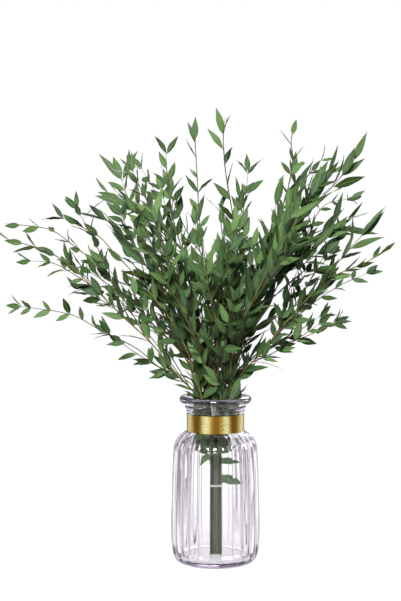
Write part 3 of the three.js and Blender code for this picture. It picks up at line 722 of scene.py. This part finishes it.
def blade_lift(share, column, side):
    """How far a vertex of the blade stands from its middle surface: side is 1 in front and -1 behind."""
    thick = BLADE_THICK / 2 * (1 - abs(column) ** 3)
    if share <= STALK_SHARE:
        thick = STALK_THICK * (1 - abs(column))
    height = thick * side if 0 < share < 1 and abs(column) < 1 else 0
    if column == 0 and STALK_SHARE < share < 1:
        height -= (RIB_GROOVE if side > 0 else RIB_HEIGHT) * (1 - share) ** RIB_TAPER
    return height


BLADE_PLACES, BLADE_FACES = blade_template()
BLADE_ROWS, BLADE_COLS, BLADE_LIFT = map(np.array, zip(*BLADE_PLACES))
BLADE_SLOTS = [1] * (len(BLADE_FACES) // 2) + [2] * (len(BLADE_FACES) // 2)


def blade_mesh(leaf):
    points, normals = leaf_grid(leaf, leaf["swing"], STATIONS, COLUMNS)
    places = BLADE_ROWS, BLADE_COLS
    vertices = points[places] + normals[places] * BLADE_LIFT[:, None]
    colours = [(STATIONS[i], (COLUMNS[j] + 1) / 2, leaf["hue"], leaf["shade"]) for i, j, _ in BLADE_PLACES]
    return vertices.tolist(), BLADE_FACES, colours, BLADE_SLOTS


# Twigs
RING_STEP = 5
# Radius at the foot, radius towards the tip, sides
STEM_SHAPE = (1.15, 0.45, 8)
SHOOT_SHAPE = (0.6, 0.32, 6)
NODE_SWELL = 0.35
NODE_REACH = 3
TAPER_POWER = 1.25
POINT_LENGTH = 24
POINT_RADIUS = 0.16


def tube_mesh(stem, radius, tip_radius, sides, nodes, hue, twig):
    """A tapering round stem that swells a little where leaves grow, closed at both ends."""
    path = stem.fine
    steps = max(4, int(path.length / RING_STEP))
    side = None
    vertices, colours = [], []
    for i in range(steps + 1):
        s = path.length * i / steps
        point, along = path.at(s)
        side = heading(along, 0) if side is None else (side - along * side.dot(along)).normalized()
        up = along.cross(side)
        swell = sum(NODE_SWELL * exp(-((s - node) / NODE_REACH) ** 2) for node in nodes)
        taper = (s / path.length) ** TAPER_POWER
        r = (radius + (tip_radius - radius) * taper) * (1 + min(swell, NODE_SWELL))
        r = mix((POINT_RADIUS, r), min((path.length - s) / POINT_LENGTH, 1))
        for k in range(sides):
            angle = tau * k / sides
            vertices.append(point + (side * cos(angle) + up * sin(angle)) * r)
            colours.append((s / 100, k / sides, hue, twig))
    faces = grid_faces(steps + 1, sides, loop_cols=True)
    faces.append(tuple(reversed(range(sides))))
    faces.append(tuple(range(steps * sides, (steps + 1) * sides)))
    return vertices, faces, colours, [0] * len(faces)


def body_of(points, faces):
    """A search tree of the mesh, with its lowest and highest corners."""
    return BVHTree.FromPolygons(points.tolist(), faces), points.min(axis=0), points.max(axis=0)


def is_free(taken, body, own):
    """True if the body crosses none of the bodies that took their space before, apart from its own twig."""
    tree, low, high = body
    for (other, other_low, other_high), owner in taken:
        apart = owner == own or (low > other_high).any() or (high < other_low).any()
        if not apart and tree.overlap(other):
            return False
    return True


LEAF_TURNS = [0, 0.45, -0.45, 0.9, -0.9, 1.4, -1.4]
COARSE_STATIONS = [0.1, 0.28, 0.46, 0.64, 0.82, 1]
COARSE_COLUMNS = [-1, 0, 1]
COARSE_FACES = grid_faces(len(COARSE_STATIONS), len(COARSE_COLUMNS))
# Edges sharper than this aren't shaded as round, so that a leaf's two faces meet in a crisp rim
RIM_ANGLE = radians(75)
TRAITS_SEED = 5


def place_leaf(taken, leaf, own):
    """Turns the leaf about its stem until it is clear, and says whether it found a place."""
    for turn in LEAF_TURNS:
        points = leaf_grid(leaf, turn, COARSE_STATIONS, COARSE_COLUMNS)[0].reshape(-1, 3)
        if not in_reach(points):
            continue
        body = body_of(points, COARSE_FACES)
        if is_free(taken, body, own):
            leaf["swing"] = turn
            taken.append((body, None))
            return True
    return False


def build_branches(materials):
    """Every stem and shoot takes its space before the first leaf looks for a place."""
    taken = []
    places = bundle_places()
    grown = []
    for i, branch in enumerate(BRANCHES):
        name = branch[0]
        seed = SEED_START + SEED_STEP * i
        grown.append((name, grow(branch, places[name], seed), draws(seed + TRAITS_SEED)))
    for name, twigs, traits in grown:
        twigs[1:] = [twig for twig in twigs[1:] if in_reach(np.array(twig["path"].fine.points))]
        for k, twig in enumerate(twigs):
            nodes = sorted({leaf["s"] for leaf in twig["leaves"]})
            shape = SHOOT_SHAPE if k else STEM_SHAPE
            twig["wood"] = tube_mesh(twig["path"], *shape, nodes, next(traits), min(k, 1))
            vertices, faces = twig["wood"][:2]
            twig["own"] = (name, k)
            taken.append((body_of(np.array([tuple(v) for v in vertices]), faces), twig["own"]))
    for name, twigs, traits in grown:
        parts = []
        for twig in twigs:
            parts.append(twig["wood"])
            for leaf in twig["leaves"]:
                leaf.update(leaf_traits(traits))
                if place_leaf(taken, leaf, twig["own"]):
                    parts.append(blade_mesh(leaf))
        add_branch(name, parts, materials)


def add_branch(name, parts, materials):
    """Joins the wood and the blades of a branch into one piece."""
    vertices, faces, colours, slots = [], [], [], []
    for part_vertices, part_faces, part_colours, part_slots in parts:
        start = len(vertices)
        vertices.extend(part_vertices)
        faces.extend([v + start for v in face] for face in part_faces)
        colours.extend(part_colours)
        slots.extend(part_slots)
    branch = mesh_object("leafy_" + name, vertices, faces, materials)
    branch.data.polygons.foreach_set("material_index", slots)
    branch.data.set_sharp_from_angle(angle=RIM_ANGLE)
    paint(branch, "growth", colours)
    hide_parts(name)
    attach(branch, "root")


# Ribbon, in millimetres
RIBBON_BOTTOM = 158.3
RIBBON_WIDTH = 21
RIBBON_INNER = 34.55
RIBBON_THICK = 0.35
RIBBON_LIFT = 0.75
RIBBON_LAP_DEG = 26
RIBBON_STEPS = 360
RIBBON_ROWS = 14
RIBBON_RIPPLE = 0.2
RIBBON_WAVES = [(5, 0.4, 0.55), (11, 2.1, 0.3), (17, 4.0, 0.15)]
RIBBON_WAVE_LEAN = 0.7
# Painted reflection on the gold: upright bands of painted highlight and painted shade, counted round the
# ribbon from its front
RIBBON_REFLECTION_BANDS = 9
RIBBON_FRONT = (pi + radians(RIBBON_LAP_DEG) / 2) * RIBBON_INNER / 100


def build_ribbon(material):
    lap = radians(RIBBON_LAP_DEG)
    start = pi / 2 - lap / 2
    sweep = tau + lap
    rows = RIBBON_ROWS + 1
    layer = (RIBBON_STEPS + 1) * rows
    vertices, runs = [], []
    for side in (0, 1):
        for i in range(RIBBON_STEPS + 1):
            turned = sweep * i / RIBBON_STEPS
            angle = start + turned
            lift = RIBBON_LIFT * smoothstep(tau - lap, tau, turned)
            for j in range(rows):
                share = j / RIBBON_ROWS
                ripple = RIBBON_RIPPLE * (1 + sum(
                    part * sin(angle * waves + start_at + share * RIBBON_WAVE_LEAN)
                    for waves, start_at, part in RIBBON_WAVES))
                radius = RIBBON_INNER + lift + RIBBON_THICK * side + ripple
                vertices.append(round_point(radius, angle, RIBBON_BOTTOM + RIBBON_WIDTH * share))
                runs.append((turned * RIBBON_INNER / 100, share, 0, 1))
    faces = grid_faces(RIBBON_STEPS + 1, rows) + grid_faces(RIBBON_STEPS + 1, rows, start=layer, flip=True)
    lower = [(i * rows, i * rows + rows) for i in range(RIBBON_STEPS)]
    upper = [(a + RIBBON_ROWS, b + RIBBON_ROWS) for a, b in lower]
    first = [(j, j + 1) for j in range(RIBBON_ROWS)]
    last = [(a + layer - rows, b + layer - rows) for a, b in first]
    faces += [(a, b, b + layer, a + layer) for a, b in lower + last]
    faces += [(a + layer, b + layer, b, a) for a, b in upper + first]
    ribbon = mesh_object("gold_ribbon", vertices, faces, [material])
    ribbon.data.set_sharp_from_angle(angle=RIM_ANGLE)
    paint(ribbon, "run", runs)
    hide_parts("ribbon")
    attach(ribbon, "root")


# String round the stems inside the vase, in millimetres
STRING_Z = 92
STRING_LOOP = 8.9
STRING_TURNS = 2
STRING_SPACING = 1.32
STRING_STRANDS = 3
STRING_TWISTS = 16
STRING_STEPS = 160
STRING_SIDES = 6
STRAND_RADIUS = 0.3


def build_string(material):
    """Two turns of twisted twine, side by side, each of three strands."""
    vertices, faces = [], []
    for turn in range(STRING_TURNS):
        level = STRING_Z + (turn - 0.5) * STRING_SPACING
        for strand in range(STRING_STRANDS):
            faces += grid_faces(STRING_STEPS, STRING_SIDES, len(vertices), True, True, True)
            for i in range(STRING_STEPS):
                angle = tau * i / STRING_STEPS
                roll = angle * STRING_TWISTS + tau * strand / STRING_STRANDS
                for k in range(STRING_SIDES):
                    around = tau * k / STRING_SIDES
                    radius = STRING_LOOP + STRAND_RADIUS * (cos(roll) + cos(around))
                    z = level + STRAND_RADIUS * (sin(roll) + sin(around))
                    vertices.append(round_point(radius, angle, z))
    string = mesh_object("stem_string", vertices, faces, [material])
    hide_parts("bundle_band")
    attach(string, "root")


# Materials
class Nodes:
    """A short way to make the shader nodes of a material or the world, and to join them."""

    def __init__(self, name, owners=bpy.data.materials, shader="Principled BSDF"):
        self.owner = owners.new(name)
        self.owner.use_nodes = True
        self.tree = self.owner.node_tree
        self.shader = self.tree.nodes[shader]

    def add(self, kind, inputs=None, **settings):
        node = self.tree.nodes.new("ShaderNode" + kind)
        for key, value in settings.items():
            setattr(node, key, value)
        for key, value in (inputs or {}).items():
            self.set(node.inputs[key], value)
        return node

    def set(self, socket, value):
        if isinstance(value, bpy.types.NodeSocket):
            self.tree.links.new(value, socket)
        elif socket.type == "RGBA":
            socket.default_value = (*value, 1)
        else:
            socket.default_value = value

    def math(self, operation, a, b=0.0):
        return self.add("Math", {0: a, 1: b}, operation=operation).outputs[0]

    def plus(self, a, b):
        return self.math("ADD", a, b)

    def minus(self, a, b):
        return self.math("SUBTRACT", a, b)

    def times(self, a, b):
        return self.math("MULTIPLY", a, b)

    def power(self, a, b):
        return self.math("POWER", a, b)

    def mix(self, factor, a, b):
        return self.add("Mix", {"Factor": factor, 6: a, 7: b}, data_type="RGBA").outputs[2]

    def ranged(self, value, start, end, low=0.0, high=1.0):
        """The value from start to end, carried over to the span from low to high."""
        ends = {"From Min": start, "From Max": end, "To Min": low, "To Max": high}
        return self.add("MapRange", {"Value": value, **ends}).outputs["Result"]

    def ramp(self, factor, *stops):
        node = self.add("ValToRGB", {"Fac": factor})
        elements = node.color_ramp.elements
        while len(elements) < len(stops):
            elements.new(0.5)
        for element, (place, colour) in zip(elements, stops):
            element.position = place
            element.color = (*colour, 1)
        return node.outputs["Color"]

    def place(self):
        return self.add("TexCoord").outputs["Object"]

    def noise(self, vector, scale, detail):
        return self.add("TexNoise", {"Scale": scale, "Detail": detail, "Vector": vector}).outputs["Fac"]

    def bump(self, height, strength, distance):
        node = self.add("Bump", {"Height": height, "Strength": strength, "Distance": distance})
        self.set(self.shader.inputs["Normal"], node.outputs["Normal"])

    def surface(self, **values):
        for key, value in values.items():
            self.set(self.shader.inputs[key.replace("_", " ")], value)


def grey(value):
    return (value, value, value)


LEAF_DARK = (0.007, 0.018, 0.002)
LEAF_MID = (0.036, 0.086, 0.023)
LEAF_FRESH = (0.096, 0.174, 0.057)
LEAF_BLUE = (0.040, 0.086, 0.042)
LEAF_SPECK = (0.190, 0.260, 0.150)
LEAF_BACK_DARK = (0.038, 0.074, 0.030)
LEAF_BACK_PALE = (0.080, 0.130, 0.063)
LEAF_BROWN = (0.105, 0.070, 0.028)
RIB_PALE = (0.20, 0.26, 0.10)
MOTTLE_SHARE = 0.45
SHADE_POWER = 2.2
SHADE_SHARE = 0.75
DRY_TIP_POWER = 14
DRY_HUE = 0.8
EDGE_POWER = 10
EDGE_SHARE = 0.08
RIB_HALF = 0.035
PALE_STALK = 0.06
VEINS = 26
VEIN_SLANT = -22
VEIN_HALF_WAVE = 3.14
VEIN_POWER = 9
VEIN_SHARE = 0.05
VEIN_BUMP = 0.2
SPECK_SPAN = (0.5, 0.75)
SPECK_STRENGTH = 0.18


def growth_values(nodes):
    """Along the leaf, across it, its hue and its shade, from the mesh's own attribute."""
    attribute = nodes.add("Attribute", attribute_name="growth")
    split = nodes.add("SeparateColor", {"Color": attribute.outputs["Color"]})
    return (*split.outputs[:3], attribute.outputs["Alpha"])


def leaf_material(name, dark, mid, fresh, rib_strength, roughness):
    nodes = Nodes(name)
    plus, times, power = nodes.plus, nodes.times, nodes.power
    along, across, hue, shade = growth_values(nodes)
    off_rib = nodes.math("ABSOLUTE", nodes.minus(across, 0.5))
    tone = nodes.ramp(hue, (0.14, dark), (0.46, mid), (0.75, LEAF_BLUE), (1, fresh))
    mottle = nodes.noise(nodes.place(), scale=260, detail=4)
    tone = nodes.mix(times(mottle, MOTTLE_SHARE), tone, dark)
    lighter = nodes.mix(times(power(shade, SHADE_POWER), SHADE_SHARE), tone, fresh)
    dry = times(power(along, DRY_TIP_POWER), nodes.math("GREATER_THAN", hue, DRY_HUE))
    edge = times(power(times(off_rib, 2), EDGE_POWER), EDGE_SHARE)
    browned = nodes.mix(nodes.math("MAXIMUM", dry, edge), lighter, LEAF_BROWN)
    rib = nodes.math("LESS_THAN", off_rib, RIB_HALF)
    stalk = nodes.math("LESS_THAN", along, PALE_STALK)
    ribbed = nodes.mix(times(nodes.math("MAXIMUM", rib, stalk), rib_strength), browned, RIB_PALE)
    slant = plus(times(along, VEINS), times(off_rib, VEIN_SLANT))
    veins = power(nodes.math("ABSOLUTE", nodes.math("SINE", times(slant, VEIN_HALF_WAVE))), VEIN_POWER)
    veined = nodes.mix(times(veins, VEIN_SHARE), ribbed, RIB_PALE)
    specks = nodes.ranged(nodes.noise(nodes.place(), scale=700, detail=2), *SPECK_SPAN, high=SPECK_STRENGTH)
    coloured = nodes.mix(specks, veined, LEAF_SPECK)
    fine = nodes.noise(nodes.place(), scale=1400, detail=2)
    nodes.bump(plus(times(veins, VEIN_BUMP), fine), strength=0.16, distance=0.0004)
    rough = plus(times(mottle, 0.16), roughness)
    nodes.surface(Base_Color=coloured, Roughness=rough, Specular_IOR_Level=0.04)
    return nodes.owner


# Heights in metres between which the stems turn from green to dry
DRY_FROM = 0.14
DRY_ABOVE = 0.25
MOSS_SHARE = 0.3
STREAK_SHARE = 0.8
STREAK_DEPTH = 0.55


def wood_material():
    nodes = Nodes("eucalyptus_wood")
    plus, times = nodes.plus, nodes.times
    along, across, hue, twig = growth_values(nodes)
    ochre = nodes.ramp(hue, (0, (0.050, 0.038, 0.018)), (0.4, (0.115, 0.098, 0.036)),
                       (0.75, (0.210, 0.165, 0.052)), (1, (0.095, 0.060, 0.025)))
    brown = nodes.ramp(hue, (0, (0.038, 0.032, 0.022)), (1, (0.095, 0.080, 0.040)))
    green = nodes.ramp(hue, (0, (0.014, 0.030, 0.010)), (0.5, (0.038, 0.076, 0.026)),
                       (1, (0.066, 0.088, 0.030)))
    moss = times(nodes.noise(nodes.place(), scale=34, detail=2), MOSS_SHARE)
    above = nodes.mix(moss, ochre, (0.07, 0.09, 0.03))
    height = nodes.add("SeparateXYZ", {"Vector": nodes.place()}).outputs["Z"]
    stem = nodes.mix(nodes.ranged(height, DRY_FROM, DRY_ABOVE), green, above)
    base = nodes.mix(twig, stem, brown)
    grain = nodes.add("CombineXYZ", {"X": times(along, 12), "Y": times(across, 9), "Z": hue})
    streak = nodes.noise(grain.outputs["Vector"], scale=5, detail=4)
    dark = nodes.mix(STREAK_DEPTH, base, (0.022, 0.017, 0.010))
    coloured = nodes.mix(times(streak, STREAK_SHARE), base, dark)
    nodes.bump(streak, strength=0.5, distance=0.0003)
    nodes.surface(Base_Color=coloured, Roughness=plus(times(streak, 0.2), 0.5), Specular_IOR_Level=0.08)
    return nodes.owner


def glass_material():
    nodes = Nodes("lilac_glass")
    nodes.bump(nodes.noise(nodes.place(), scale=30, detail=2), strength=0.05, distance=0.0012)
    tint = nodes.add("Attribute", attribute_name="tint").outputs["Fac"]
    # Base colour darkened by the painted shade along the grooves, rings and lip; the lilac comes from the
    # absorbing volume
    coloured = nodes.mix(tint, (0.985, 0.975, 0.99), (0.16, 0.15, 0.17))
    nodes.surface(Base_Color=coloured, Roughness=0.004, Transmission_Weight=1.0, IOR=1.49)
    absorb = nodes.add("VolumeAbsorption", {"Color": (0.62, 0.56, 0.66), "Density": 38.0})
    nodes.set(nodes.tree.nodes["Material Output"].inputs["Volume"], absorb.outputs["Volume"])
    return nodes.owner


BAND_UNEVENNESS = 1.5
THREAD_SPAN = (0.38, 0.64)
THREAD_SHARE = 0.75


def gold_material():
    """Satin whose painted reflection shades from brown painted shade to bright gold painted highlight in
    soft upright bands, with fine threads across.
    """
    nodes = Nodes("gold_satin")
    plus, minus, times = nodes.plus, nodes.minus, nodes.times
    run = nodes.add("Attribute", attribute_name="run").outputs["Vector"]
    along = nodes.add("SeparateXYZ", {"Vector": run}).outputs["X"]

    def streaks(size, scale, detail):
        stretched = nodes.add("Mapping", {"Vector": run, "Scale": size}).outputs["Vector"]
        return nodes.noise(stretched, scale, detail)

    uneven = streaks((6, 0.3, 1), scale=1, detail=1.5)
    from_front = times(minus(along, RIBBON_FRONT), RIBBON_REFLECTION_BANDS * 100 / RIBBON_INNER)
    phase = plus(from_front, times(minus(uneven, 0.5), BAND_UNEVENNESS))
    painted_reflection_bands = minus(0.5, times(nodes.math("COSINE", phase), 0.5))
    threads = streaks((15, 7, 1), scale=3, detail=3)
    # Painted reflection: brown painted shade in the bands' troughs, bright gold painted highlight at their
    # crests
    tone = nodes.ramp(painted_reflection_bands, (0.1, (0.20, 0.10, 0.014)), (0.45, (0.42, 0.28, 0.045)),
                      (0.75, (0.86, 0.70, 0.22)), (0.98, (1.0, 0.94, 0.52)))
    sparkle = times(nodes.ranged(threads, *THREAD_SPAN), THREAD_SHARE)
    coloured = nodes.mix(sparkle, tone, (0.17, 0.08, 0.012))
    nodes.bump(threads, strength=0.14, distance=0.0005)
    nodes.surface(Base_Color=coloured, Metallic=1.0, Roughness=plus(times(threads, 0.14), 0.2))
    return nodes.owner


def string_material():
    nodes = Nodes("pale_twine")
    fibre = nodes.noise(nodes.place(), scale=900, detail=3)
    coloured = nodes.mix(fibre, (0.50, 0.47, 0.38), (0.78, 0.76, 0.68))
    nodes.bump(fibre, strength=0.5, distance=0.0003)
    nodes.surface(Base_Color=coloured, Roughness=0.85, Sheen_Weight=0.2)
    return nodes.owner


# Studio
FLOOR_SIZE = 2.6
FLOOR_GREY = 0.22
GLOW_NEAR = 0.76
GLOW_FAR = 0.9
GLOW_ALONG = (0, 1, 0)
GLOW_REACH = 1.1
WORLD_SEEN = 1.0
WORLD_GLOSS = 0.5
WORLD_FILL = 0.01
# name, place, power, size
LIGHTS = [
    ("key", (-0.35, -2.15, 1.2), 124, 0.6),
    ("fill", (1.7, -1.3, 1.2), 12, 1.1),
    ("back", (0.5, 2.1, 1.5), 110, 1.4),
]
LIGHT_AIM = Vector((0, 0, 0.3))
# Dark cards round the vase, flat on the floor and then upright: only gloss and glass show them
FLAG_NEAR = 0.13
FLAG_PALE = 0.96
FLAG_DARK = 0.26
FLAG_GREY = 0.03
FLAG_FAR = 0.58
FLAG_SHARE = 0.07
FLAG_HEIGHT = 1.0
FLAG_LIFT = 0.002
FLAGS = 8


def add_light(name, place, power, size):
    light = bpy.data.lights.new(name, "AREA")
    light.energy = power
    light.size = size
    obj = add_object(name, light)
    obj.location = place
    obj.rotation_euler = (LIGHT_AIM - Vector(place)).to_track_quat("-Z", "Y").to_euler()


def build_floor():
    nodes = Nodes("white_floor")
    away = nodes.add("VectorMath", {0: nodes.place(), 1: GLOW_ALONG}, operation="DOT_PRODUCT")
    glow = nodes.ranged(away.outputs["Value"], 0.0, GLOW_REACH, GLOW_NEAR, GLOW_FAR)
    nodes.surface(Base_Color=grey(FLOOR_GREY), Roughness=0.7, Specular_IOR_Level=0.1,
                  Emission_Color=grey(1), Emission_Strength=glow)
    half = FLOOR_SIZE / 2
    corners = [(-half, -half, 0), (half, -half, 0), (half, half, 0), (-half, half, 0)]
    floor = mesh_object("floor", corners, [(0, 1, 2, 3)], [nodes.owner], scale=1)
    floor.visible_diffuse = False
    return floor


def build_flags():
    nodes = Nodes("dark_flag")
    way = nodes.add("VectorMath", {0: nodes.place()}, operation="LENGTH")
    # The cards glow: pale near the vase and dimmer towards their far ends, so their reflections fade into
    # the floor's
    fade = nodes.ranged(way.outputs["Value"], FLAG_NEAR, FLAG_FAR, FLAG_PALE, FLAG_DARK)
    nodes.surface(Base_Color=grey(FLAG_GREY), Roughness=0.9, Specular_IOR_Level=0.0,
                  Emission_Color=grey(1), Emission_Strength=fade)
    corners = []
    for reach, height in ((FLAG_NEAR, FLAG_LIFT), (FLAG_FAR, FLAG_LIFT), (FLAG_FAR, FLAG_HEIGHT)):
        corners += [Vector((side * reach * FLAG_SHARE, -reach, height)) for side in (-1, 1)]
    flags = []
    for i in range(FLAGS):
        turn = Matrix.Rotation(tau * (i + 0.5) / FLAGS, 3, "Z")
        turned = [turn @ corner for corner in corners]
        flag = mesh_object(f"flag_{i}", turned, [(0, 1, 3, 2), (2, 3, 5, 4)], [nodes.owner], scale=1)
        flag.visible_camera = False
        flag.visible_diffuse = False
        flag.visible_shadow = False
        flags.append(flag)
    return flags


def build_world():
    """White where it is seen or mirrored, straight or through the glass, and dimmer as a light."""
    nodes = Nodes("white_studio", bpy.data.worlds, "Background")
    ray = nodes.add("LightPath").outputs
    strength = WORLD_FILL
    for kind, value in (("Glossy", WORLD_GLOSS), ("Transmission", WORLD_SEEN), ("Camera", WORLD_SEEN)):
        pick = nodes.add("Mix", {"Factor": ray[f"Is {kind} Ray"], "A": strength, "B": value})
        strength = pick.outputs["Result"]
    nodes.surface(Color=grey(1), Strength=strength)
    bpy.context.scene.world = nodes.owner


def build_camera():
    camera = bpy.data.cameras.new("camera")
    camera.lens = CAMERA_LENS
    obj = add_object("camera", camera)
    obj.location = VIEWPOINT * MM
    obj.rotation_euler = (radians(90 - CAMERA_PITCH_DEG), 0, 0)
    bpy.context.scene.camera = obj
    bpy.context.scene.view_settings.view_transform = "Standard"


def main():
    build_camera()
    build_floor()
    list(build_flags())
    build_world()
    for light in LIGHTS:
        add_light(*light)
    build_vase(glass_material())
    build_ribbon(gold_material())
    build_string(string_material())
    leaf_front = leaf_material("leaf_face", LEAF_DARK, LEAF_MID, LEAF_FRESH, 0.4, 0.42)
    leaf_back = leaf_material("leaf_back", LEAF_BACK_DARK, LEAF_BACK_PALE, LEAF_BACK_PALE, 0.6, 0.55)
    build_branches([wood_material(), leaf_front, leaf_back])


main()
